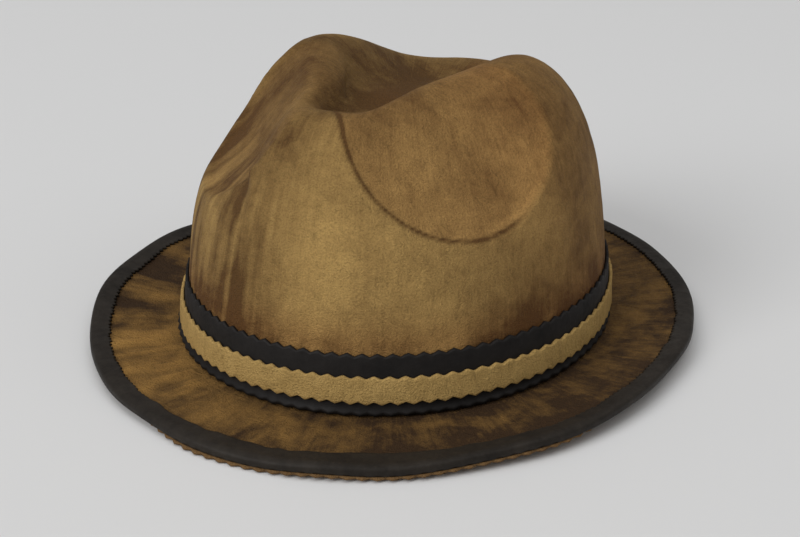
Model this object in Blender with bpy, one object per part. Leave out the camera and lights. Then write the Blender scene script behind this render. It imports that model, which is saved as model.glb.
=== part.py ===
"""Leather fedora: teardrop crown, nearly flat brim, two pinked hatbands and an edged, pinked brim.

The front of the hat faces -Y, the wearer's left is +X and +Z is up.  The hat is shaped upright on
its own head opening, then every piece is set down together so the brim rests on the floor.
"""
import bpy
import bmesh
from math import pi, sin, cos, atan2, radians, hypot, exp, asin
from mathutils import Vector, Matrix

# ---------------------------------------------------------------- driving sizes, metres
HEAD_HALF_LENGTH = 0.105       # crown outside at the brim, front to back
HEAD_HALF_WIDTH = 0.0935       # crown outside at the brim, side to side
CROWN_HEIGHT = 0.127           # open crown before it is dented
BRIM_HALF_LENGTH = 0.149       # outer edge of the brim, front to back
BRIM_HALF_WIDTH = 0.1345       # outer edge of the brim, side to side
CROWN_LEATHER = 0.0020
BRIM_LEATHER = 0.0015
UNDER_LEATHER = 0.0012
CORE_THICKNESS = 0.0008
SWEAT_LEATHER = 0.0010
LINING_CLOTH = 0.0005
BAND_LEATHER = 0.0012
STRIP_LEATHER = 0.0014
EDGING_LEATHER = 0.0010
GAP = 0.0003                   # play between pieces that touch
COLLAR_HEIGHT = 0.0122         # part of the brim leather turned up inside the crown
SWEAT_HEIGHT = 0.030
BAND_TOP = 0.0280
STRIP_LOW = 0.0063
STRIP_TOP = 0.0188
BAND_TEETH = 96                # a whole number of half teeth to each of SEGMENTS
BRIM_TEETH = 144
TOOTH = 0.0015                 # depth of the pinked teeth
EDGING_WIDTH = 0.0090          # edging seen from above
SHOWING_EDGE = 0.0008          # how far the pinked under leather shows past the edging
DENT_DEPTH = 0.027             # centre dent
PINCH_RADIUS = 0.044           # round press of each front pinch
PINCH_DEPTH = 0.0142
BACK_LIFT = 0.002              # how far the brim curls up at the back
SIDE_LIFT = 0.004
SEGMENTS = 48                  # steps round the crown

BRIM_WIDTH = BRIM_HALF_LENGTH - HEAD_HALF_LENGTH
WALL_SQUARE = 4.6              # how boxy the crown's side is
TOP_SQUARE = 2.5


# ---------------------------------------------------------------- shape of the hat
def ease(low, high, value):
    t = min(1.0, max(0.0, (value - low) / (high - low)))
    return t * t * (3 - 2 * t)


def wall_reach(height):
    """Share of the base oval that the open crown keeps at a height."""
    s = min(1.0, max(0.0, height / CROWN_HEIGHT)) ** (TOP_SQUARE / 2)
    return (1 - s * s) ** (1 / WALL_SQUARE)


def block(unit, height):
    """A point of the unit disc and a height, put on the open crown."""
    size = CROWN_HEIGHT / 0.130
    back = (1 + unit.y / (unit.length + 1e-9)) / 2
    lean = 1 - 0.60 * height / size
    x = HEAD_HALF_WIDTH * lean * unit.x + 0.030 * height
    y = HEAD_HALF_LENGTH * (lean + 0.45 * height / size * back) * unit.y
    return Vector((x, y, height))


def on_wall(angle, height, outward):
    """Point on the crown's side; outward is the distance from its outer face."""
    reach = wall_reach(max(0.0, height))
    unit = Vector((sin(angle), -cos(angle)))
    p = block(unit * reach, max(0.0, height))
    p.z = height
    out = Vector((unit.x / HEAD_HALF_WIDTH, unit.y / HEAD_HALF_LENGTH, 0)).normalized()
    return p + out * outward


def on_brim(angle, out, height):
    """Point on the brim: out is the distance from the crown at the front."""
    s = out / BRIM_WIDTH
    width = HEAD_HALF_WIDTH + s * (BRIM_HALF_WIDTH - HEAD_HALF_WIDTH)
    length = HEAD_HALF_LENGTH + s * BRIM_WIDTH
    curl = max(0.0, s) ** 1.6 * (SIDE_LIFT * sin(angle) ** 2 + BACK_LIFT * (1 - cos(angle)) / 2)
    return Vector((width * sin(angle), -length * cos(angle), height + curl))


def press(p):
    """Centre dent, lowered back and the two front pinches, pressed into the open crown."""
    x, y, z = p.x * 1000, p.y * 1000, p.z * 1000
    k = CROWN_HEIGHT / 0.130
    ky, kx = HEAD_HALF_LENGTH / 0.105, HEAD_HALF_WIDTH / 0.0935
    yy, xx = y / ky, x / kx
    half = 21 + 11 * ease(-62, 20, yy)
    deep = DENT_DEPTH * 1000 * ease(-73, -36, yy) * ease(92, 45, yy)
    z -= deep * exp(-(abs(xx) / half) ** 2.6) * ease(40 * k, 100 * k, z)
    z -= 8 * ease(5, 85, yy) * ease(50 * k, 120 * k, z)
    for side in (-1, 1):
        centre = Vector((side * 58 * kx, -52 * ky, 115 * k))
        face = Vector((side * 0.76, -0.52, 0.40)).normalized()
        across = face.cross(Vector((0, 0, 1))).normalized()
        up = across.cross(face)
        d = Vector((x, y, z)) - centre
        r = hypot(d.dot(across), d.dot(up)) / (PINCH_RADIUS * 1000)
        if d.dot(face) > -45 and r < 1.6:
            move = 0.15 * ease(1.04, 0.90, r) + 0.63 * max(0.0, 1 - r * r) ** 1.2 + 0.22 * exp(-r ** 4)
            move *= PINCH_DEPTH * 1000 * ease(0, 30, side * x / kx)
            x, y, z = x - move * face.x, y - move * face.y, z - move * face.z
    return Vector((x, y, z)) / 1000


# ---------------------------------------------------------------- making pieces
def material(name, srgb, rough):
    mat = bpy.data.materials.new(name)
    mat.use_nodes = True
    shader = mat.node_tree.nodes["Principled BSDF"]
    lin = [((c / 255 + 0.055) / 1.055) ** 2.4 for c in srgb]
    shader.inputs["Base Color"].default_value = (*lin, 1)
    shader.inputs["Roughness"].default_value = rough
    shader.inputs["Metallic"].default_value = 0.0
    mat.diffuse_color = (*lin, 1)
    return mat


def finish(name, bm, mat):
    """Turn the shaped bmesh into a named, smooth piece standing in the hat's own frame."""
    bmesh.ops.recalc_face_normals(bm, faces=bm.faces)
    mesh = bpy.data.meshes.new(name)
    bm.to_mesh(mesh)
    bm.free()
    mesh.shade_smooth()
    mesh.set_sharp_from_angle(angle=radians(42))
    mesh.materials.append(mat)
    obj = bpy.data.objects.new(name, mesh)
    bpy.context.collection.objects.link(obj)
    return obj


def spun_outline(points, steps, closed):
    """Spin an outline of (radius, height) points once round the Z axis."""
    bm = bmesh.new()
    verts = [bm.verts.new((0, -r, h)) for r, h in points]
    edges = [bm.edges.new(pair) for pair in zip(verts, verts[1:])]
    if closed:
        edges.append(bm.edges.new((verts[-1], verts[0])))
    bmesh.ops.spin(bm, geom=verts + edges, cent=(0, 0, 0), axis=(0, 0, 1), angle=2 * pi,
                   steps=steps, use_merge=True)
    bmesh.ops.remove_doubles(bm, verts=bm.verts, dist=1e-6)
    return bm


def ring_piece(name, section, mat, place, toothed=None, teeth=0, bite=None):
    """Spin a closed (outward, height) section and fit it to the hat's oval with place().

    toothed(out, height) picks the section's corners that are pinked, teeth is their number round
    the hat and bite(out, height) gives the bottom of each notch.
    """
    spare = 0.05
    bm = spun_outline([(spare + o, h) for o, h in section], SEGMENTS, True)
    if toothed:
        steps = 2 * teeth // SEGMENTS
        round_edges = []
        for e in bm.edges:
            a, b = [(hypot(v.co.x, v.co.y) - spare, v.co.z) for v in e.verts]
            if abs(a[0] - b[0]) + abs(a[1] - b[1]) < 1e-6 and toothed(*a):
                round_edges.append(e)
        bmesh.ops.subdivide_edges(bm, edges=round_edges, cuts=steps - 1)
    for v in bm.verts:
        angle = atan2(v.co.x, -v.co.y)
        near = hypot(v.co.x, v.co.y) - spare
        out, height = min(section, key=lambda q: abs(q[0] - near) + 3 * abs(q[1] - v.co.z))
        if toothed and toothed(out, height) and round(angle / pi * teeth) % 2:
            out, height = bite(out, height)
        v.co = place(angle, out, height)
    return finish(name, bm, mat)


def crown_layer(name, heights, depth, thickness, mat, to_top=True):
    """One layer of the crown: depth is how far under the outer face its own outer face lies."""
    outline = [(wall_reach(h), h) for h in heights]
    if to_top:
        outline.append((0.0, CROWN_HEIGHT))
    bm = spun_outline(outline, SEGMENTS, False)
    for v in bm.verts:
        v.co = press(block(Vector((v.co.x, v.co.y)), v.co.z))
    bmesh.ops.recalc_face_normals(bm, faces=bm.faces)
    bm.normal_update()
    top = max(bm.verts, key=lambda v: v.co.z)
    if top.normal.z < 0:
        bmesh.ops.reverse_faces(bm, faces=bm.faces)
        bm.normal_update()
    for v, shift in [(v, v.normal * depth) for v in bm.verts]:
        v.co -= shift
    obj = finish_open(name, bm, mat)
    skin = obj.modifiers.new("leather thickness", "SOLIDIFY")
    skin.thickness = thickness
    skin.offset = -1
    return obj


def finish_open(name, bm, mat):
    """As finish(), for an open skin whose faces already point outward."""
    mesh = bpy.data.meshes.new(name)
    bm.to_mesh(mesh)
    bm.free()
    mesh.shade_smooth()
    mesh.materials.append(mat)
    obj = bpy.data.objects.new(name, mesh)
    bpy.context.collection.objects.link(obj)
    return obj


def crown_heights(low, high, count):
    """Heights of the rows, closer together towards the top of the open crown."""
    a = asin(min(1.0, low / CROWN_HEIGHT) ** (TOP_SQUARE / 2))
    b = asin(min(1.0, high / CROWN_HEIGHT) ** (TOP_SQUARE / 2))
    return [CROWN_HEIGHT * sin(a + (b - a) * i / count) ** (2 / TOP_SQUARE) for i in range(count + 1)]


# ---------------------------------------------------------------- crown and lining
def make_crown():
    leather = material("crown_leather", (134, 104, 66), 0.78)
    rows = [0.0015, COLLAR_HEIGHT + 0.0005] + crown_heights(0.028, CROWN_HEIGHT * 0.9995, 12)
    crown_layer("crown_leather", rows, 0.0, CROWN_LEATHER, leather)


def make_lining():
    satin = material("lining_satin", (70, 56, 44), 0.42)
    depth = CROWN_LEATHER + BRIM_LEATHER - 0.0001
    split = CROWN_HEIGHT * 0.80
    low = [COLLAR_HEIGHT + 0.0005] + crown_heights(0.028, split, 6)
    top = crown_heights(split + 0.0024, CROWN_HEIGHT * 0.9995, 6)
    crown_layer("lining_side", low, depth, LINING_CLOTH, satin, to_top=False)
    crown_layer("lining_tip", top, depth, LINING_CLOTH, satin)


def on_crown(angle, out, height):
    return on_wall(angle, height, out)


def make_sweatband():
    leather = material("sweatband_leather", (92, 66, 44), 0.6)
    outer = -(CROWN_LEATHER + GAP + BRIM_LEATHER + 0.0004)
    inner = outer - SWEAT_LEATHER
    low = -(BRIM_LEATHER + CORE_THICKNESS + UNDER_LEATHER + 0.0009)
    section = [(outer, low), (outer, 0.012), (outer, SWEAT_HEIGHT),
               (inner, SWEAT_HEIGHT), (inner, 0.012), (inner, low)]
    ring_piece("sweatband", section, leather, on_crown)


def make_sweat_stitching():
    """One thread that zigzags round the inside of the sweatband, above its lower edge."""
    thread = material("waxed_thread", (150, 124, 84), 0.7)
    face = -(CROWN_LEATHER + GAP + BRIM_LEATHER + 0.0004 + SWEAT_LEATHER + GAP + 0.00060)
    count = 2 * SEGMENTS
    curve = bpy.data.curves.new("sweatband_stitching", "CURVE")
    curve.dimensions = "3D"
    line = curve.splines.new("POLY")
    line.points.add(count - 1)
    for i in range(count):
        p = on_wall(2 * pi * i / count, 0.0035 if i % 2 else 0.0010, face)
        line.points[i].co = (*p, 1)
    line.use_cyclic_u = True
    curve.bevel_depth = 0.00028
    curve.bevel_resolution = 0
    curve.materials.append(thread)
    obj = bpy.data.objects.new("sweatband_stitching", curve)
    bpy.context.collection.objects.link(obj)


# ---------------------------------------------------------------- brim
def brim_or_collar(angle, out, height):
    """Outside the crown a point follows the brim, inside it follows the crown's wall."""
    return on_brim(angle, out, height) if out > 0 else on_wall(angle, height, out)


def make_brim():
    top_leather = material("brim_leather", (112, 82, 48), 0.8)
    under_leather = material("under_brim_leather", (122, 96, 60), 0.82)
    board = material("brim_stiffener", (196, 184, 158), 0.9)
    outer = BRIM_WIDTH - SHOWING_EDGE - EDGING_LEATHER - GAP
    turn = -(CROWN_LEATHER + GAP)
    back = turn - BRIM_LEATHER
    low = -BRIM_LEATHER
    stations = (0.32 * BRIM_WIDTH, 0.66 * BRIM_WIDTH)
    upper = [(outer, 0.0)] + [(s, 0.0) for s in stations[::-1]] + [
        (0.0035, 0.0001), (0.0003, 0.0005), (-0.0018, 0.0008), (turn, 0.0014), (turn, COLLAR_HEIGHT),
        (back, COLLAR_HEIGHT), (back, 0.0002), (-0.0024, -0.0011), (0.0003, low)] + [
        (s, low) for s in stations] + [(outer, low)]
    ring_piece("brim_upper", upper, top_leather, brim_or_collar)
    core_top = low - GAP
    core_low = core_top - CORE_THICKNESS
    core = [(0.0003, core_top)] + [(s, core_top) for s in stations] + [(outer - 0.002, core_top),
           (outer - 0.002, core_low)] + [(s, core_low) for s in stations[::-1]] + [(0.0003, core_low)]
    ring_piece("brim_core", core, board, on_brim)
    under_top = core_low - GAP
    under_low = under_top - UNDER_LEATHER
    tip = BRIM_WIDTH
    under = [(back + 0.0001, under_top), (0.0003, under_top)] + [(s, under_top) for s in stations] + [
        (tip, under_top), (tip, under_low)] + [(s, under_low) for s in stations[::-1]] + [
        (0.0003, under_low), (back + 0.0001, under_low)]

    ring_piece("brim_under", under, under_leather, brim_or_collar,
               lambda out, height: out > tip - 0.001, BRIM_TEETH, lambda out, height: (out - TOOTH, height))


def make_edging():
    """Smooth dark strip laid on the brim's top edge and rolled down over its side."""
    dark = material("edging_leather", (48, 43, 39), 0.5)
    inner = BRIM_WIDTH - SHOWING_EDGE - EDGING_LEATHER
    side = inner + EDGING_LEATHER
    start = side - EDGING_WIDTH
    low = -(BRIM_LEATHER + GAP + CORE_THICKNESS)
    top = GAP + EDGING_LEATHER
    section = [(start, GAP), (0.5 * (start + inner), GAP), (inner, GAP), (inner, low), (side, low),
               (side, top - 0.0009), (side - 0.0004, top - 0.0002), (side - 0.0011, top),
               (0.5 * (start + inner), top), (start, top)]
    ring_piece("brim_edging", section, dark, on_brim)


# ---------------------------------------------------------------- hatbands
def make_bands():
    dark = material("hatband_dark_leather", (44, 36, 32), 0.62)
    cream = material("hatband_cream_leather", (176, 152, 108), 0.75)
    o, t = GAP, GAP + BAND_LEATHER
    foot = t + 0.0016
    section = [(o, 0.0038), (o, 0.0128), (o, BAND_TOP), (t, BAND_TOP), (t, 0.0128), (t + 0.0004, 0.0042),
               (foot, 0.0024), (foot - 0.0005, 0.0013), (0.0012, 0.0020)]

    def bite(out, height):
        return (out, height - TOOTH) if height > 0.02 else (out - 0.0008, height + 0.0006)

    def on_base(angle, out, height):
        if height < 0.004:
            low, high = on_brim(angle, max(out, 0.0), height), on_wall(angle, height, out)
            return low.lerp(high, 0.5)
        return on_wall(angle, height, out)
    ring_piece("hatband_dark", section, dark, on_base,
               lambda out, height: height > 0.02 or out > foot - 0.0006, BAND_TEETH, bite)
    o, t = t + GAP, t + GAP + STRIP_LEATHER
    strip = [(o, STRIP_LOW), (o, STRIP_TOP), (t, STRIP_TOP), (t, STRIP_LOW)]

    ring_piece("hatband_cream", strip, cream, on_crown, lambda out, height: True, BAND_TEETH,
               lambda out, height: (out, height + (TOOTH if height < 0.012 else -TOOTH)))


def rest_angle(points):
    """Tip the hat about X until its front half and its back half touch the floor together."""
    low, high = -0.1, 0.1
    for _ in range(40):
        angle = 0.5 * (low + high)
        drop = [(y, z * cos(angle) + y * sin(angle)) for _, y, z in points]
        if min(z for y, z in drop if y < 0) < min(z for y, z in drop if y >= 0):
            high = angle
        else:
            low = angle
    return angle


def set_down():
    """Lay the hat on the floor with its lowest points at height 0 and its middle over the origin."""
    bpy.context.view_layer.update()
    graph = bpy.context.evaluated_depsgraph_get()
    points = []
    for obj in bpy.context.collection.objects:
        mesh = obj.evaluated_get(graph).to_mesh()
        points += [tuple(v.co) for v in mesh.vertices]
        obj.evaluated_get(graph).to_mesh_clear()
    angle = rest_angle(points)
    turn = Matrix.Rotation(angle, 4, "X")
    placed = [turn @ Vector(p) for p in points]
    middle = [(min(p[i] for p in placed) + max(p[i] for p in placed)) / 2 for i in (0, 1)]
    floor = min(p.z for p in placed)
    for obj in bpy.context.collection.objects:
        obj.rotation_euler = (angle, 0, 0)
        obj.location = (-middle[0], -middle[1], -floor)


for old in list(bpy.data.objects):
    bpy.data.objects.remove(old, do_unlink=True)
make_crown()
make_lining()
make_sweatband()
make_sweat_stitching()
make_brim()
make_edging()
make_bands()
set_down()
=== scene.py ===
"""The leather fedora's finished pieces: shaped leather, pinked bands, edging, sweatband and lining."""
from math import pi, radians
import bpy
import bmesh
import numpy as np
from mathutils import Matrix, Vector, noise


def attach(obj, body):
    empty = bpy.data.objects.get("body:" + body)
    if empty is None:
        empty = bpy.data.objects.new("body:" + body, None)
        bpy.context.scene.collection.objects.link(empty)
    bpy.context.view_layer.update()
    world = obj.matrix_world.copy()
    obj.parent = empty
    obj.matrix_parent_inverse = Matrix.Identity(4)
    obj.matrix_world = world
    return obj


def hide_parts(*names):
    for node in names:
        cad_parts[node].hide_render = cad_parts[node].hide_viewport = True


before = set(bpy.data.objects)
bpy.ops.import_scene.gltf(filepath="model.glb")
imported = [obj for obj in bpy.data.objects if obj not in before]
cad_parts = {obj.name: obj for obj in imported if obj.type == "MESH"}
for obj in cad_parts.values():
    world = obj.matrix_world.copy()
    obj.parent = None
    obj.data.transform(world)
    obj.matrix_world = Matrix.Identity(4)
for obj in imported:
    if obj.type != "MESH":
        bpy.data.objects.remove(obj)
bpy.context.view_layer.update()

MM = 0.001

# ---------------------------------------------------------------- sizes, millimetres
# The hat's front is -Y and the wearer's left is +X. A direction on the hat is an angle from the front
# towards the wearer's left. Height 0 is the brim's upper face at the crown.
HEAD_LENGTH, HEAD_WIDTH = 105.0, 93.5      # half sizes of the crown at the brim
BRIM_LENGTH, BRIM_SIDE = 149.0, 134.5      # half sizes of the brim
BRIM_WIDTH = BRIM_LENGTH - HEAD_LENGTH
SIDE_LIFT, BACK_LIFT = 4.0, 2.0            # how far the brim's edge curls up
OPEN_HEIGHT = 127.0                        # crown before it is dented
TIP_SHARE = 0.9995                         # the last ring below the tip, as a share of that height
WALL_POWER, BOX_POWER = 1.25, 4.6          # how late and how squarely the crown's wall turns over
CROWN_LEATHER, BRIM_LEATHER, UNDER_LEATHER, EDGING_LEATHER, CORE = 1.9, 1.5, 1.2, 1.0, 0.8
GAP = 0.3                                  # play between pieces that touch
COLLAR_OUT, COLLAR_TOP = -2.3, 12.2        # brim leather turned up inside the crown
SHOWING_EDGE = 0.8                         # under leather that shows past the edging
EDGING_SIDE = BRIM_WIDTH - SHOWING_EDGE
EDGING_WIDTH = 9.4
CORE_EDGE = 39.6
CORE_TOP = -BRIM_LEATHER - GAP
UNDER_TOP = CORE_TOP - CORE - GAP
BAND_TOP, STRIP_LOW, STRIP_TOP = 28.0, 6.3, 18.8
BAND_FACE = 1.5                            # the dark band's outer face, out from the crown
STRIP_IN, STRIP_OUT = BAND_FACE + 0.4, BAND_FACE + 1.75
BAND_TEETH, BRIM_TEETH, TOOTH = 96, 144, 1.5
EDGING_TEETH, EDGING_TOOTH = 288, 1.3      # fine pinking along the edging's inner edge
STEPS_PER_TOOTH = 8
SWEAT_OUT, SWEAT_IN, SWEAT_HEIGHT = -4.25, -5.2, 30.0
SWEAT_FOOT = -4.4                          # the sweatband's lower edge, which the hat stands on
THREAD_OUT, THREAD_RADIUS, STITCHES = -5.9, 0.3, 96
LINING_CLOTH, LINING_DEPTH = 0.4, 3.6      # its thickness, and how far it lies inside the crown's face
DENT_DEPTH, BACK_DROP = 27.0, 8.0
PINCH_RADIUS, PINCH_STEP, PINCH_BOWL, PINCH_MIDDLE = 44.0, 2.3, 9.0, 3.1
PLACE = Matrix.Translation((0, 0, -SWEAT_FOOT * MM))

# Drift of the hand-cut brim edge: direction in degrees, spread in degrees, millimetres at its middle.
EDGE_OUT = ((-78, 26, 4.2), (-12, 20, -1.0), (-132, 22, -2.2), (68, 22, 0.9), (143, 7, 0.8))
EDGE_UP = ((-82, 22, 1.1), (-132, 26, -4.3), (143, 9, 0.9), (132, 30, -3.0), (78, 24, 0.4))
EDGE_WAVER = ((7, 0.35, 0.4), (11, 0.30, 2.1), (17, 0.18, 4.0))    # waves round the brim, size, start


# ---------------------------------------------------------------- shape of the hat
def ease(low, high, value):
    """0 at low, 1 at high, smooth between; low may be the larger."""
    t = np.clip((value - low) / (high - low), 0, 1)
    return t * t * (3 - 2 * t)


def bell(value, middle, width):
    return np.exp(-((value - middle) / width) ** 2)


def turn_from(angle, middle):
    """Signed angle in degrees between a direction on the hat and another, the short way round."""
    return (np.degrees(angle) - middle + 180) % 360 - 180


def towards(angle, middle, width):
    """1 in one direction of the hat, fading out on both sides of it; both in degrees."""
    return bell(turn_from(angle, middle), 0, width)


def outward(angle):
    return np.stack([np.sin(angle), -np.cos(angle), 0 * angle], -1)


def waver(points, size, seed, octaves=2):
    """Smooth hand-made unevenness, about -1 to 1, with bumps about size millimetres across."""
    shift = Vector((seed * 17.3, seed * 5.1, -seed * 9.7))
    return np.array([noise.fractal(Vector(p) / size + shift, 1.0, 2.0, octaves) for p in points])


def round_waver(angle, bumps, across, seed, octaves=2):
    """Unevenness that runs seamlessly round the hat; more bumps make it finer."""
    return waver(np.stack([np.cos(angle) * bumps, np.sin(angle) * bumps, across], -1), 1.0, seed, octaves)


def reach(height):
    """How far out the open crown's wall stands at a height, as a share of its foot."""
    s = np.clip(height / OPEN_HEIGHT, 0, 1) ** WALL_POWER
    return np.clip(1 - s * s, 0, 1) ** (1 / BOX_POWER)


def open_block(x, y, height):
    """Points of the unit disc and their heights, put on the open crown, which leans in as it rises."""
    back = (1 + y / (np.hypot(x, y) + 1e-9)) / 2
    share = height / OPEN_HEIGHT
    lean = 1 - 0.078 * share
    return np.stack([HEAD_WIDTH * lean * x + 0.03 * height,
                     HEAD_LENGTH * (lean + 0.0585 * share * back) * y, height], -1)


def on_wall(angle, out, height):
    """On the crown's side, out millimetres from its outer face."""
    high = np.maximum(height, 0)
    p = open_block(np.sin(angle) * reach(high), -np.cos(angle) * reach(high), high)
    normal = np.stack([np.sin(angle) / HEAD_WIDTH, -np.cos(angle) / HEAD_LENGTH, 0 * angle], -1)
    p += normal / np.linalg.norm(normal, axis=-1, keepdims=True) * np.reshape(out, (-1, 1))
    p[:, 2] = height
    return p


def brim_wave(angle):
    """(outward, upward) drift of the hand-cut brim edge."""
    out = sum(size * towards(angle, place, width) for place, width, size in EDGE_OUT)
    up = sum(size * towards(angle, place, width) for place, width, size in EDGE_UP)
    for count, size, turn in EDGE_WAVER:
        out = out + size * np.sin(count * angle + turn)
        up = up + 0.8 * size * np.sin((count + 2) * angle - turn)
    return out, up


def on_brim(angle, out, height):
    """On the brim, out millimetres from the crown and height above the brim's upper face."""
    s = np.asarray(out / BRIM_WIDTH)
    far = np.maximum(s, 0)
    drift, rise = brim_wave(angle)
    width = HEAD_WIDTH + s * (BRIM_SIDE - HEAD_WIDTH) + drift * far ** 2
    length = HEAD_LENGTH + s * BRIM_WIDTH + drift * far ** 2
    curl = far ** 1.6 * (SIDE_LIFT * np.sin(angle) ** 2 + BACK_LIFT * (1 - np.cos(angle)) / 2)
    z = height + curl + rise * far ** 2
    return np.stack([width * np.sin(angle), -length * np.cos(angle), z], -1)


def brim_or_wall(angle, out, height):
    """A brim leather's own place: on the brim outside the crown's face, on the wall inside it."""
    return np.where((out > 0)[:, None], on_brim(angle, out, height), on_wall(angle, out, height))


def press(p):
    """The centre dent, the lowered back and the front pinches. Also gives how far each reaches."""
    x, y, z = p.T.copy()
    tall = OPEN_HEIGHT / 130               # the heights below are set out on a crown 130 tall
    half = 21 + 11 * ease(-62, 20, y)      # the dent widens from its front to its back
    dent = np.exp(-(np.abs(x) / half) ** 2.6) * ease(-73, -36, y) * ease(92, 45, y)
    dent *= ease(40 * tall, 100 * tall, z)
    z = z - DENT_DEPTH * dent - BACK_DROP * ease(5, 85, y) * ease(50 * tall, 120 * tall, z)
    pinch, crease = 0 * x, 0 * x
    for side in (-1, 1):
        face = np.array([side * 0.76, -0.52, 0.40])     # the way the pinch is pressed from
        face /= np.linalg.norm(face)
        across = np.cross(face, (0, 0, 1))
        across /= np.linalg.norm(across)
        up = np.cross(across, face)
        d = np.stack([x, y, z], -1) - (side * 58, -52, 115 * tall)
        u, v = d @ across * side, d @ up
        r = np.hypot(u, v) / PINCH_RADIUS
        near = ease(-52, -40, d @ face)
        move = PINCH_STEP * ease(1.03, 0.93, r) + PINCH_BOWL * np.clip(1 - r * r, 0, 1) ** 1.2
        move = (move + PINCH_MIDDLE * np.exp(-r ** 4)) * near * ease(4, 34, side * x)
        x, y, z = np.stack([x, y, z], -1).T - np.outer(face, move)
        pinch = np.maximum(pinch, near * ease(1.04, 0.94, r) * (0.5 if side < 0 else 1.0))
        if side > 0:                       # the sharp fold along the lower front of the near pinch
            crease = near * bell(r, 1.0, 0.02) * ease(-0.62, -0.35, u / PINCH_RADIUS)
            crease *= ease(0.6, 0.2, v / PINCH_RADIUS)
    return np.stack([x, y, z], -1), dent, pinch, crease


def pinked(angle, teeth):
    """0 at a tooth's tip, 1 at the bottom of its notch."""
    phase = (angle / (2 * pi) * teeth) % 1.0
    return np.abs(phase - 0.5) * 2


# ---------------------------------------------------------------- making pieces
def spun(points, steps, closed, sectors=24):
    """Spin an outline of (radius, height) once round Z: one sector first, then copies of it."""
    bm = bmesh.new()
    verts = [bm.verts.new((0, -r, h)) for r, h in points]
    edges = [bm.edges.new(pair) for pair in zip(verts, verts[1:])]
    if closed:
        edges.append(bm.edges.new((verts[-1], verts[0])))
    bmesh.ops.spin(bm, geom=verts + edges, cent=(0, 0, 0), axis=(0, 0, 1), angle=2 * pi / sectors,
                   steps=steps // sectors)
    bmesh.ops.spin(bm, geom=bm.verts[:] + bm.edges[:] + bm.faces[:], cent=(0, 0, 0), axis=(0, 0, 1),
                   angle=2 * pi * (sectors - 1) / sectors, steps=sectors - 1, use_duplicate=True)
    closest = max(6e-5, 1e-5 * max(r for r, _ in points))     # seams meet only to rounding
    bmesh.ops.remove_doubles(bm, verts=bm.verts, dist=closest)
    return bm


def coordinates(bm):
    return np.array([v.co[:] for v in bm.verts])


def direction(co):
    return np.arctan2(co[:, 0], -co[:, 1])


def move_to(bm, points):
    for v, p in zip(bm.verts, points):
        v.co = p


def piece(name, bm, mat, replaced, values=None):
    """Put a shaped bmesh, in the hat's own millimetres, in its place as a finished piece."""
    bmesh.ops.recalc_face_normals(bm, faces=bm.faces)
    bmesh.ops.scale(bm, vec=(MM, MM, MM), verts=bm.verts)
    bmesh.ops.transform(bm, matrix=PLACE, verts=bm.verts)
    mesh = bpy.data.meshes.new(name)
    bm.to_mesh(mesh)
    bm.free()
    mesh.shade_smooth()
    for key, data in (values or {}).items():
        kind, part = ("FLOAT_VECTOR", "vector") if np.ndim(data) == 2 else ("FLOAT", "value")
        layer = mesh.attributes.new(key, kind, "POINT")
        layer.data.foreach_set(part, np.asarray(data, np.float32).ravel())
    mesh.materials.append(mat)
    obj = bpy.data.objects.new(name, mesh)
    bpy.context.collection.objects.link(obj)
    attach(obj, "root")
    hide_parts(*replaced)
    return obj


def thicken(obj, label, thickness):
    """Give a skin its thickness, inwards from the face that was shaped."""
    skin = obj.modifiers.new(label, "SOLIDIFY")
    skin.thickness, skin.offset = thickness * MM, -1


def ring(section, steps):
    """Spin a closed (out, height) section; gives the bmesh and each vertex's angle, out and height."""
    spare = 1000.0                         # spun on a wide circle, so that no out reaches the axis
    bm = spun([(spare + o, h) for o, h in section], steps, True)
    co = coordinates(bm)
    return bm, direction(co), np.hypot(co[:, 0], co[:, 1]) - spare, co[:, 2]


def lay(angle, out):
    """Seamless coordinates that run round the hat and across it, for streaks that follow the work."""
    return np.stack([np.cos(angle), np.sin(angle), np.asarray(out) / 100.0], -1)


def fill(points, gap):
    """A closed outline with extra points so that none are further apart than gap."""
    made = []
    for a, b in zip(points, points[1:] + points[:1]):
        count = max(1, int(np.ceil(np.hypot(b[0] - a[0], b[1] - a[1]) / gap)))
        made += [(a[0] + (b[0] - a[0]) * i / count, a[1] + (b[1] - a[1]) * i / count) for i in range(count)]
    return made


# ---------------------------------------------------------------- finishes
def linear(code, alpha=1.0):
    """An sRGB hex colour as linear numbers."""
    parts = [int(code[i:i + 2], 16) / 255 for i in (1, 3, 5)]
    return (*[c / 12.92 if c <= 0.04045 else ((c + 0.055) / 1.055) ** 2.4 for c in parts], alpha)


def per(size):
    """Noise scale whose features are size millimetres across on Object coordinates in metres."""
    return 1000.0 / size


def node(tree, kind, inputs=(), **settings):
    """Add a shader node with its settings; inputs are (socket, value or output) pairs."""
    made = tree.nodes.new("ShaderNode" + kind)
    for key, value in settings.items():
        setattr(made, key, value)
    for key, value in inputs:
        if isinstance(value, bpy.types.NodeSocket):
            tree.links.new(value, made.inputs[key])
        else:
            made.inputs[key].default_value = value
    return made


def new_finish(name, rough, specular=0.5, sheen=0.0):
    mat = bpy.data.materials.new(name)
    mat.use_nodes = True
    tree = mat.node_tree
    tree.nodes.clear()
    shader = node(tree, "BsdfPrincipled", [("Roughness", rough), ("Specular IOR Level", specular),
                                           ("Sheen Weight", sheen)])
    node(tree, "OutputMaterial", [("Surface", shader.outputs[0])])
    return mat, tree, shader


def weigh(tree, start, parts):
    """Add (output, weight) parts to a running total."""
    total = start
    for source, weight in parts:
        total = node(tree, "Math", [(0, source.outputs[0]), (1, weight), (2, total)],
                     operation="MULTIPLY_ADD").outputs[0]
    return total


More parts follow.
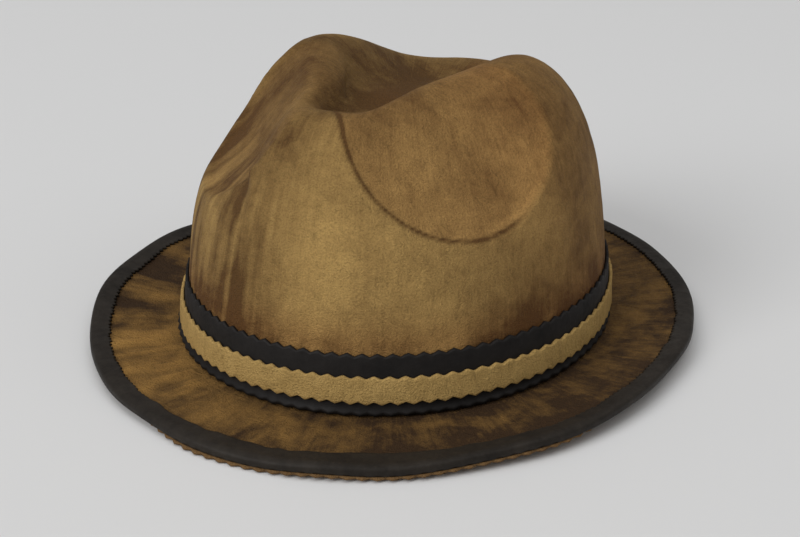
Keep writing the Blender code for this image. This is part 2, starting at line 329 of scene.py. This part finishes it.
# Split leather, vegetable tanned, with the dye rubbed on by hand. The eye gets a matt surface, cloudy
# in colour, with streaks that follow the work and a fine nap that breaks up the light. The nap and the
# pores of the real skin are finer than the sizes here, which are as coarse as they need to be to show.
CLOUD, MOTTLE, CREASE, PORE, NAP = 30.0, 6.5, 7.0, 1.3, 0.75


def rubbed_leather(name, pale, dark, streak=0.3, clouds=CLOUD, cloudy=0.8, fleck=0.34):
    """Hand-dyed split leather; reads the piece's own darkness (0 pale, 1 dark: its dyed tone with painted
    shade and painted highlight in it), warm and lay values.
    """
    mat, tree, shader = new_finish(name, 0.75, 0.14)
    spot = node(tree, "TexCoord").outputs["Object"]
    dye_and_shade = node(tree, "Attribute", attribute_name="dye_and_shade").outputs["Fac"]
    warm = node(tree, "Attribute", attribute_name="warm").outputs["Fac"]
    round_way = node(tree, "Attribute", attribute_name="lay").outputs["Vector"]
    stretched = node(tree, "Mapping", [("Vector", round_way), ("Scale", (58, 58, 5.0))])
    cloud = node(tree, "TexNoise", [("Vector", spot), ("Scale", per(clouds)), ("Detail", 5.0),
                                    ("Roughness", 0.62), ("Distortion", 0.6)])
    mottle = node(tree, "TexNoise", [("Vector", spot), ("Scale", per(MOTTLE)), ("Detail", 5.0),
                                     ("Roughness", 0.7)])
    run = node(tree, "TexNoise", [("Vector", stretched.outputs[0]), ("Scale", 1.0), ("Detail", 5.0),
                                  ("Roughness", 0.6), ("Distortion", 0.4)])
    nap = node(tree, "TexNoise", [("Vector", spot), ("Scale", per(NAP)), ("Detail", 3.0),
                                  ("Roughness", 0.75)])
    pores = node(tree, "TexVoronoi", [("Vector", spot), ("Scale", per(PORE))], feature="DISTANCE_TO_EDGE")
    bent = node(tree, "Mapping", [("Vector", spot), ("Rotation", (0.5, 0.4, 0.9)),
                                  ("Scale", (1.0, 2.6, 1.0))])
    creases = node(tree, "TexNoise", [("Vector", bent.outputs[0]), ("Scale", per(CREASE)), ("Detail", 6.0),
                                      ("Roughness", 0.6), ("Distortion", 0.8)],
                   noise_type="RIDGED_MULTIFRACTAL")

    # Colour: the piece's dyed tone with its painted shade and highlight, clouded and streaked about its own
    # middle.
    total = weigh(tree, dye_and_shade, ((cloud, cloudy), (mottle, 0.6 * cloudy), (run, 2.0 * streak)))
    middle = 0.5 * (1.6 * cloudy + 2.0 * streak)
    total = node(tree, "Math", [(0, total), (1, middle)], operation="SUBTRACT").outputs[0]
    tone = node(tree, "MapRange", [("Value", total), ("From Min", -0.1), ("From Max", 1.05)]).outputs[0]
    base = node(tree, "Mix", [(0, tone), (6, linear(pale)), (7, linear(dark))], data_type="RGBA").outputs[2]
    hair = weigh(tree, nap.outputs[0], ((creases, -0.18),))
    worn = node(tree, "MapRange", [("Value", hair), ("From Min", 0.17), ("From Max", 0.57),
                                   ("To Min", 1.0 - fleck), ("To Max", 1.0 + fleck)])
    base = node(tree, "Mix", [(0, 1.0), (6, base), (7, worn.outputs[0])], data_type="RGBA",
                blend_type="MULTIPLY").outputs[2]
    reddened = node(tree, "Mix", [(0, warm), (6, base), (7, (1.10, 0.90, 0.86, 1))], data_type="RGBA",
                    blend_type="MULTIPLY")
    tree.links.new(reddened.outputs[2], shader.inputs["Base Color"])

    relief = weigh(tree, nap.outputs[0], ((pores, 0.5), (mottle, 1.2), (creases, 0.7)))
    rise = node(tree, "Bump", [("Height", relief), ("Strength", 1.0), ("Distance", 0.0011)])
    tree.links.new(rise.outputs[0], shader.inputs["Normal"])
    return mat


# Calf leather, pigment finished and rolled smooth. The eye gets one even dark colour with a low, broken
# gloss: paler and shinier where it is rubbed, over a very fine pebble and small scuffs.
PATCH, SCUFF, PEBBLE = 14.0, 2.2, 0.9


def smooth_leather(name, pale, dark, rough, specular):
    mat, tree, shader = new_finish(name, rough, specular)
    spot = node(tree, "TexCoord").outputs["Object"]
    patch = node(tree, "TexNoise", [("Vector", spot), ("Scale", per(PATCH)), ("Detail", 5.0),
                                    ("Roughness", 0.65)])
    scuff = node(tree, "TexNoise", [("Vector", spot), ("Scale", per(SCUFF)), ("Detail", 4.0),
                                    ("Roughness", 0.7)])
    cell = node(tree, "TexVoronoi", [("Vector", spot), ("Scale", per(PEBBLE))], feature="DISTANCE_TO_EDGE")
    rubbed = weigh(tree, patch.outputs[0], ((scuff, 0.5),))
    tone = node(tree, "MapRange", [("Value", rubbed), ("From Min", 0.5), ("From Max", 1.05)])
    base = node(tree, "Mix", [(0, tone.outputs[0]), (6, linear(dark)), (7, linear(pale))], data_type="RGBA")
    tree.links.new(base.outputs[2], shader.inputs["Base Color"])
    gloss = node(tree, "MapRange", [("Value", rubbed), ("From Min", 0.5), ("From Max", 1.05),
                                    ("To Min", rough + 0.12), ("To Max", rough - 0.06)])
    tree.links.new(gloss.outputs[0], shader.inputs["Roughness"])
    relief = weigh(tree, scuff.outputs[0], ((cell, 0.4),))
    rise = node(tree, "Bump", [("Height", relief), ("Strength", 0.3), ("Distance", 0.0005)])
    tree.links.new(rise.outputs[0], shader.inputs["Normal"])
    return mat


def woven(name, colour, other, pitch, rough, sheen):
    """Woven cloth or twisted thread, its threads pitch millimetres apart. The eye gets crossing threads,
    slightly paler on top, a painted highlight, with painted shade between them. The pitches are coarser
    than the real ones, so that the weave shows."""
    mat, tree, shader = new_finish(name, rough, 0.4, sheen)
    spot = node(tree, "TexCoord").outputs["Object"]
    wave = per(pitch) / 6.283              # a wave texture repeats every 2 pi at scale 1
    threads = [node(tree, "TexWave", [("Vector", spot), ("Scale", wave), ("Distortion", 0.4)],
                    bands_direction=way).outputs[1] for way in ("X", "Z")]
    cross = node(tree, "Math", [(0, threads[0]), (1, threads[1])], operation="MULTIPLY")
    patch = node(tree, "TexNoise", [("Vector", spot), ("Scale", per(20)), ("Detail", 3.0)])
    # Painted highlight on the raised crossings of the threads, painted shade between them.
    tone = weigh(tree, patch.outputs[0], ((cross, 0.4),))
    base = node(tree, "Mix", [(0, tone), (6, linear(other)), (7, linear(colour))], data_type="RGBA")
    tree.links.new(base.outputs[2], shader.inputs["Base Color"])
    rise = node(tree, "Bump", [("Height", cross.outputs[0]), ("Strength", 0.4), ("Distance", 0.0002)])
    tree.links.new(rise.outputs[0], shader.inputs["Normal"])
    return mat


# ---------------------------------------------------------------- crown
def rows_over(start, count):
    """Heights from start up to the tip, crowded where the wall turns over into the top."""
    low, high = np.arcsin((start / OPEN_HEIGHT) ** WALL_POWER), np.arcsin(TIP_SHARE ** WALL_POWER)
    return [OPEN_HEIGHT * np.sin(low + (high - low) * i / count) ** 0.8 for i in range(count + 1)]


def crown_shape(p0, angle, height):
    """The dented crown, with the far side pressed a little deeper behind an upright fold."""
    p, dent, pinch, crease = press(p0)
    side = turn_from(angle, 0)
    fold = -12 - 5 * ease(60, 80, height) - 18 * ease(80, 110, height)
    far = ease(fold, fold - 7, side) * ease(-112, -70, side) * ease(65, 93, height) * ease(131, 112, height)
    far = far * ease(8, 30, -p0[:, 0])
    full = 1.5 * bell(side, -85, 32) * bell(height, 58, 24) + 1.6 * bell(side, 88, 30) * bell(height, 98, 22)
    p = p - outward(angle) * (4.3 * far + 0.8 * crease - full)[:, None]
    return p, dent, pinch, crease


def crown_skin(rows, steps, to_top):
    """Spin the crown's outline, crowd its columns towards the near pinch and press it to shape."""
    outline = [(float(reach(np.array(h))), h) for h in rows] + ([(0.0, OPEN_HEIGHT)] if to_top else [])
    bm = spun(outline, steps, False)
    co = coordinates(bm)
    angle = direction(co)
    angle = angle - 0.5 * np.sin(angle - radians(40))
    radius, height = np.hypot(co[:, 0], co[:, 1]), co[:, 2].copy()
    flat = open_block(radius * np.sin(angle), -radius * np.cos(angle), height)
    p, dent, pinch, crease = crown_shape(flat, angle, height)
    move_to(bm, p)
    for _ in range(24):                    # soften the dent's floor, where the columns crowd together
        top = [v for v, d, r in zip(bm.verts, dent, radius) if d > 0.02 and r > 0.3]
        bmesh.ops.smooth_vert(bm, verts=top, factor=0.5, use_axis_x=True, use_axis_y=True, use_axis_z=True)
    return bm, angle, height, dent, pinch, crease


def crown_dye_and_shade(p, angle, height, dent, pinch, crease):
    """How dark and how warm each part of the crown is: hand-rubbed dyeing, painted shade and a painted front
    highlight.
    """
    side = turn_from(angle, 0)
    drips = round_waver(angle, 16, height / 60, 31, 3)
    # The wall, below the painted shade of the tip.
    below = ease(122, 100, height)
    # Behind the fold on the wearer's right: partly painted shade where the wall turns from the light, partly
    # dyed streaks running down it.
    behind_fold = ease(5, -13, side + 6 * drips) * ease(-150, -110, side) * below
    # Painted shade on the side turned away from the key light, less in the pinch.
    near_side = ease(26, 80, side) * ease(176, 130, side) * (1 - 0.8 * pinch) * below
    # Painted shade on the tip, where the wall turns over into the top; less in the pinches.
    tip = (1 - below) * (1 - 0.6 * pinch)
    # Painted highlight across the front of the wall.
    front_highlight = bell(side, 5, 18) * ease(25, 50, height) * ease(100, 78, height)
    # Painted shade in the pinches, the dent and the crease, over the dyed tone.
    dye_and_shade = 0.36 + 0.14 * pinch + 0.26 * dent + 0.8 * crease + 0.44 * tip + 0.36 * near_side
    dye_and_shade += behind_fold * (0.34 + 0.2 * ease(62, 35, height) + 0.55 * drips * ease(100, 80, height))
    dye_and_shade += 0.25 * waver(p, 40.0, 33) - 0.34 * front_highlight
    dye_and_shade += 0.40 * bell(height, 27, 13) * ease(-0.3, 0.5, waver(p, 24.0, 21))      # stain above the band
    return dye_and_shade, 0.35 * pinch + 0.3 * ease(40, 90, side) + 0.5 * bell(height, 27, 12)


def make_crown():
    rows = [1.5, 5.0, 9.0, COLLAR_TOP + 0.5] + rows_over(16.0, 112)
    bm, angle, height, dent, pinch, crease = crown_skin(rows, 312, True)
    p = coordinates(bm)
    wave = waver(p, 34.0, 3) * ease(28, 50, height)
    small = waver(p, 11.0, 5) * ease(30, 45, height)
    up_and_out = outward(angle) + (0, 0, 0.4)
    move_to(bm, p + up_and_out * (0.55 * wave + 0.16 * small)[:, None])
    dye_and_shade, warm = crown_dye_and_shade(p, angle, height, dent, pinch, crease)
    # Tan going to brown in soft clouds, palest at the front, which holds a painted highlight.
    leather = rubbed_leather("split_leather_hand_dyed_crown_painted_shade", "#B08F56", "#5A4022", streak=0.22, cloudy=1.1)
    obj = piece("crown", bm, leather, ["crown_leather"],
                {"dye_and_shade": dye_and_shade, "warm": warm, "lay": lay(angle, height)})
    thicken(obj, "leather thickness", CROWN_LEATHER)


# ---------------------------------------------------------------- brim
def brim_wrinkles(angle, out):
    """Gathers that run out from the band, strongest at the wearer's right and front."""
    s = np.clip(out / BRIM_WIDTH, 0, 1)
    where = 0.25 + 0.95 * towards(angle, -55, 48)
    gather = 0.75 * round_waver(angle, 9, s * 0.9, 2) + 0.4 * round_waver(angle, 26, s * 1.6, 4)
    return gather * where * ease(0.03, 0.3, s) * ease(1.02, 0.74, s)


def make_brim():
    edge = EDGING_SIDE - EDGING_LEATHER - GAP
    back, low = COLLAR_OUT - BRIM_LEATHER, -BRIM_LEATHER
    face = [(float(o), float(0.4 * ease(6, 1, o) ** 2)) for o in np.linspace(edge, 1.0, 46)]
    inside = [(-1.8, 0.8), (COLLAR_OUT, 1.4), (COLLAR_OUT, COLLAR_TOP), (back, COLLAR_TOP), (back, 0.2),
              (-2.4, -1.1)]
    lower = [(o, low) for o in (0.3, 9, 18, 27, 36, edge)]
    bm, angle, out, height = ring(face + inside + lower, 648)
    p = brim_or_wall(angle, out, height)
    gather = brim_wrinkles(angle, out)
    p[:, 2] += 0.75 * gather * (height > low - 0.1)
    move_to(bm, p)
    # Painted light: paler towards the key light, highlight on the gathers' ridges, shade in their hollows
    # and on the far side.
    dye_and_shade = 0.72 - 0.42 * towards(angle, -38, 24) - 0.62 * gather + 0.20 * towards(angle, 65, 50)
    # Darker over the outer half, painted shade in the corner against the crown, a little paler at the front.
    dye_and_shade += 0.12 * ease(18, 32, out) + 0.10 * ease(9, 3, out) - 0.14 * towards(angle, 12, 16)
    dye_and_shade += 0.20 * ease(0.05, 0.5, waver(p, 17.0, 22)) * towards(angle, 5, 60)
    # Darker than the crown and blotched, with painted shade in the gathers' hollows and painted highlight on
    # their ridges.
    leather = rubbed_leather("split_leather_hand_dyed_brim_painted_shade", "#9A7840", "#3A2B1B", streak=0.28, clouds=19.0,
                             cloudy=1.25)
    piece("brim_top", bm, leather, ["brim_upper"],
          {"dye_and_shade": dye_and_shade, "warm": 0.3 + 0 * angle, "lay": lay(angle, out)})


def make_under():
    inner, low = -3.7, UNDER_TOP - UNDER_LEATHER
    under = [(inner, UNDER_TOP), (BRIM_WIDTH, UNDER_TOP), (BRIM_WIDTH, low), (inner, low)]
    bm, angle, out, height = ring(fill(under, 3.0), BRIM_TEETH * STEPS_PER_TOOTH)
    far = ease(BRIM_WIDTH - 5, BRIM_WIDTH, out)
    hidden = 1 - ease(52, 30, np.abs(turn_from(angle, 24)))      # it shows past the edging only in front
    out = out + far * (1.0 * towards(angle, -18, 16) - 1.4 * pinked(angle, BRIM_TEETH) - 4.6 * hidden)
    move_to(bm, brim_or_wall(angle, out, height))
    # The same split leather with little dye: an even, dull mid brown.
    leather = rubbed_leather("split_leather_under_brim", "#8C7049", "#5A4229", streak=0.2)
    piece("brim_underside", bm, leather, ["brim_under"],
          {"dye_and_shade": 0.5 + 0 * angle, "warm": 0.2 + 0 * angle, "lay": lay(angle, out)})


def make_core():
    """The canvas stiffener between the two brim leathers, following the brim's own drift."""
    # Stiffened linen canvas, woven and sized: dull cream, rough, with a plain open weave.
    canvas = woven("canvas_buckram_core", "#C8BCA0", "#A2977C", 1.0, 0.9, 0.0)
    inner, low = 0.4, CORE_TOP - CORE
    section = [(inner, CORE_TOP), (CORE_EDGE, CORE_TOP), (CORE_EDGE, low), (inner, low)]
    bm, angle, out, height = ring(fill(section, 3.0), 288)
    move_to(bm, on_brim(angle, out, height))
    piece("brim_stiffener", bm, canvas, ["brim_core"])


def make_edging():
    side, inner, start = EDGING_SIDE, EDGING_SIDE - EDGING_LEATHER, EDGING_SIDE - EDGING_WIDTH
    low, top = -2.6, 1.3
    section = [(start, 0.25), (inner, 0.25), (inner, low), (side, low), (side, -0.7), (side - 0.25, 0.0),
               (side - 0.8, 0.6), (side - 1.8, 1.0), (side - 3.2, top), (start + 0.5, top - 0.1),
               (start, top - 0.45)]
    bm, angle, out, height = ring(fill(section, 0.8), EDGING_TEETH * 4)
    free = ease(start + 3.5, start, out)
    ragged = round_waver(angle, 22, 0 * angle, 8, 3)
    wide = 3.2 * towards(angle, 26, 15) + 1.6 * towards(angle, -2, 7)
    teeth = EDGING_TOOTH * pinked(angle, EDGING_TEETH) * ease(28, 60, np.abs(turn_from(angle, 15)))
    out = out + (0.75 * ragged - wide) * free + teeth * ease(start + 1.8, start, out)
    p = on_brim(angle, out, height)
    gather = brim_wrinkles(angle, np.minimum(out, 35.5))
    p[:, 2] += 0.5 * gather * ease(side, start, out)
    p[:, 2] += 0.14 * waver(p, 5.0, 6) * (height > 0.9)
    move_to(bm, p)
    # Near-black with a brown cast, thin and soft, so that it takes the brim's gathers.
    leather = smooth_leather("calf_leather_edging", "#2F2922", "#18130E", 0.55, 0.22)
    piece("edging", bm, leather, ["brim_edging"])


# ---------------------------------------------------------------- hatbands
def make_dark_band():
    face, foot = BAND_FACE, BAND_FACE + 1.6
    section = [(0.3, 3.8), (0.3, BAND_TOP), (face, BAND_TOP), (face, 5.4), (face + 0.4, 4.0),
               (foot - 0.4, 3.0), (foot, 2.4), (foot - 0.5, 1.3), (1.2, 2.0)]
    bm, angle, out, height = ring(fill(section, 1.2), BAND_TEETH * STEPS_PER_TOOTH)
    notch = pinked(angle, BAND_TEETH)
    height = height - TOOTH * notch * ease(BAND_TOP - 4, BAND_TOP, height)
    lower = ease(foot - 1.3, foot, out)
    turned_out = 1.8 * towards(angle, -82, 36)
    out, height = out + (turned_out - 0.8 * notch) * lower, height + 0.7 * notch * lower
    share = ease(6.5, 1.0, height)[:, None]
    wall, floor = on_wall(angle, out, height), on_brim(angle, np.maximum(out, 0), height)
    p = wall * (1 - 0.5 * share) + floor * 0.5 * share
    p += outward(angle) * (0.22 * waver(p, 9.0, 9) * ease(1.0, face, out))[:, None]
    move_to(bm, p)
    # Black, drier than the edging, with its rubbed patches only just paler.
    dark = smooth_leather("calf_leather_dark_band", "#1D1917", "#0E0B0A", 0.62, 0.28)
    piece("band_dark", bm, dark, ["hatband_dark"])


def make_cream_band():
    section = [(STRIP_IN, STRIP_LOW), (STRIP_IN, STRIP_TOP), (STRIP_OUT - 0.25, STRIP_TOP),
               (STRIP_OUT, STRIP_TOP - 0.35), (STRIP_OUT, STRIP_LOW + 0.35), (STRIP_OUT - 0.25, STRIP_LOW)]
    bm, angle, out, height = ring(fill(section, 1.0), BAND_TEETH * STEPS_PER_TOOTH)
    top = pinked(angle + 0.011, BAND_TEETH) * ease(STRIP_TOP - 3.5, STRIP_TOP, height)
    bottom = pinked(angle + 0.040, BAND_TEETH) * ease(STRIP_LOW + 3.5, STRIP_LOW, height)
    height = height - TOOTH * top + TOOTH * bottom
    p = on_wall(angle, out, height)
    p += outward(angle) * (0.22 * waver(p, 12.0, 12) * ease(STRIP_IN, STRIP_OUT, out))[:, None]
    p[:, 2] += 0.35 * np.sin(3 * angle + 1.0)
    move_to(bm, p)
    # Undyed split leather, only oiled: cream to straw, with small close mottling.
    cream = rubbed_leather("split_leather_cream_strip", "#C2A164", "#8E703E", streak=0.2, clouds=9.0,
                           fleck=0.3)
    piece("band_cream", bm, cream, ["hatband_cream"],
          {"dye_and_shade": 0.3 + 0 * angle, "warm": 0 * angle, "lay": lay(angle, height)})


# ---------------------------------------------------------------- inside
def make_sweatband():
    section = [(SWEAT_OUT, SWEAT_FOOT), (SWEAT_OUT, SWEAT_HEIGHT), (SWEAT_IN + 0.2, SWEAT_HEIGHT),
               (SWEAT_IN, SWEAT_HEIGHT - 0.4), (SWEAT_IN, SWEAT_FOOT)]
    bm, angle, out, height = ring(fill(section, 1.6), 384)
    p = on_wall(angle, out, height)
    slack = 0.35 * waver(p, 26.0, 14) * ease(6, 26, height)
    move_to(bm, p - outward(angle) * np.abs(slack)[:, None])
    # Sheepskin skiver, glazed smooth: tan, with a soft shine where it meets the brow.
    skiver = smooth_leather("sheepskin_sweatband", "#8C6A46", "#64482E", 0.5, 0.45)
    piece("sweatband_leather", bm, skiver, ["sweatband"])


def make_stitching():
    """One waxed thread, zigzagging round the sweatband's foot."""
    points_per_stitch, low, rise = 8, 1.0, 2.5
    count = STITCHES * points_per_stitch
    phase = (np.arange(count) % points_per_stitch) / points_per_stitch
    points = on_wall(np.arange(count) * 2 * pi / count, np.full(count, THREAD_OUT),
                     low + rise * np.abs(phase * 2 - 1))
    curve = bpy.data.curves.new("thread", "CURVE")
    curve.dimensions = "3D"
    line = curve.splines.new("POLY")
    line.points.add(count - 1)
    for spot, p in zip(line.points, points):
        spot.co = (*p, 1)
    line.use_cyclic_u = True
    curve.bevel_depth, curve.bevel_resolution = THREAD_RADIUS, 1
    holder = bpy.data.objects.new("thread", curve)
    bm = bmesh.new()
    bm.from_mesh(holder.to_mesh())
    holder.to_mesh_clear()
    bpy.data.objects.remove(holder)
    # Cotton thread, twisted and waxed: straw coloured and dull, with its twist just showing.
    thread = woven("cotton_thread_waxed", "#B59A6B", "#8C744C", 0.5, 0.6, 0.1)
    piece("sweatband_thread", bm, thread, ["sweatband_stitching"])


def lining_part(name, node_name, rows, to_top, mat):
    """A panel of the lining, laid just inside the crown's leather and gathered at the tip."""
    bm, angle, height, dent = crown_skin(rows, 216, to_top)[:4]
    bmesh.ops.recalc_face_normals(bm, faces=bm.faces)
    bm.normal_update()
    gather = 0.28 * np.sin(angle * 64 + 3 * np.sin(angle * 5))
    gather *= ease(40, 100, height) * ease(130, 108, height)
    depth = LINING_DEPTH - gather + 1.8 * ease(0.0, 0.25, dent)
    for v, d in zip(bm.verts, depth):
        v.co -= v.normal * d
    obj = piece(name, bm, mat, [node_name])
    thicken(obj, "cloth thickness", LINING_CLOTH)


def make_lining():
    # Satin, woven with long floats: dark brown, with a soft sheen along the gathers.
    satin = woven("satin_lining_woven", "#6B5643", "#43352A", 0.6, 0.38, 0.2)
    seam, allowance = OPEN_HEIGHT * 0.80, 2.4
    side = list(np.linspace(COLLAR_TOP + 0.5, seam, 48))
    lining_part("lining_side_panel", "lining_side", side, False, satin)
    lining_part("lining_tip_panel", "lining_tip", rows_over(seam + allowance, 44), True, satin)


# ---------------------------------------------------------------- setting
def make_floor():
    grid = bmesh.new()
    bmesh.ops.create_grid(grid, x_segments=1, y_segments=1, size=6.0)
    mesh = bpy.data.meshes.new("floor")
    grid.to_mesh(mesh)
    grid.free()
    # Matt paper, unprinted: an even pale grey that takes a soft shadow.
    mat, tree, shader = new_finish("matt_paper_floor", 0.9, 0.1)
    shader.inputs["Base Color"].default_value = linear("#DEDEDE")
    mesh.materials.append(mat)
    floor = bpy.data.objects.new("floor", mesh)
    floor.location.z = -0.4 * MM
    bpy.context.collection.objects.link(floor)


def look_way(turn, height):
    """The direction out to something turned in degrees from the hat's front and up by height."""
    a, e = radians(turn), radians(height)
    return Vector((np.sin(a) * np.cos(e), -np.cos(a) * np.cos(e), np.sin(e)))


def make_light():
    world = bpy.data.worlds.new("studio")
    world.use_nodes = True
    sky = world.node_tree.nodes["Background"]
    sky.inputs["Color"].default_value, sky.inputs["Strength"].default_value = linear("#E0E0E0"), 0.40
    bpy.context.scene.world = world
    bpy.context.scene.view_settings.view_transform = "Standard"
    # Turn and height in degrees, distance and size in metres, power in watts.
    for name, turn, height, distance, size, power in (
            ("key", -22, 34, 6.0, 3.2, 168.0), ("fill", 95, 45, 6.0, 4.2, 34.0),
            ("top", 0, 86, 6.0, 6.0, 128.0)):
        lamp = bpy.data.lights.new(name, "AREA")
        lamp.energy, lamp.size = power, size
        obj = bpy.data.objects.new(name, lamp)
        away = look_way(turn, height)
        obj.location = away * distance + Vector((0, 0, 0.05))
        obj.rotation_euler = (-away).to_track_quat("-Z", "Y").to_euler()
        bpy.context.collection.objects.link(obj)


def make_camera():
    turn, height, distance = 27.0, 24.5, 0.741
    back = look_way(turn, height)
    right = Vector((np.cos(radians(turn)), np.sin(radians(turn)), 0))
    up = back.cross(right)
    aim = right * 0.9 * MM + Vector((0, 0, 19.2 * MM))
    lens = bpy.data.cameras.new("camera")
    lens.sensor_width, lens.lens, lens.clip_start = 36.0, 72.765, 0.01
    obj = bpy.data.objects.new("camera", lens)
    facing = Matrix((right, up, back)).transposed().to_4x4()
    obj.matrix_world = PLACE @ Matrix.Translation(aim + back * distance) @ facing
    bpy.context.collection.objects.link(obj)
    bpy.context.scene.camera = obj


make_camera()
make_floor()
make_light()
make_crown()
make_brim()
make_under()
make_edging()
make_dark_band()
make_cream_band()
make_sweatband()
make_stitching()
make_lining()
make_core()
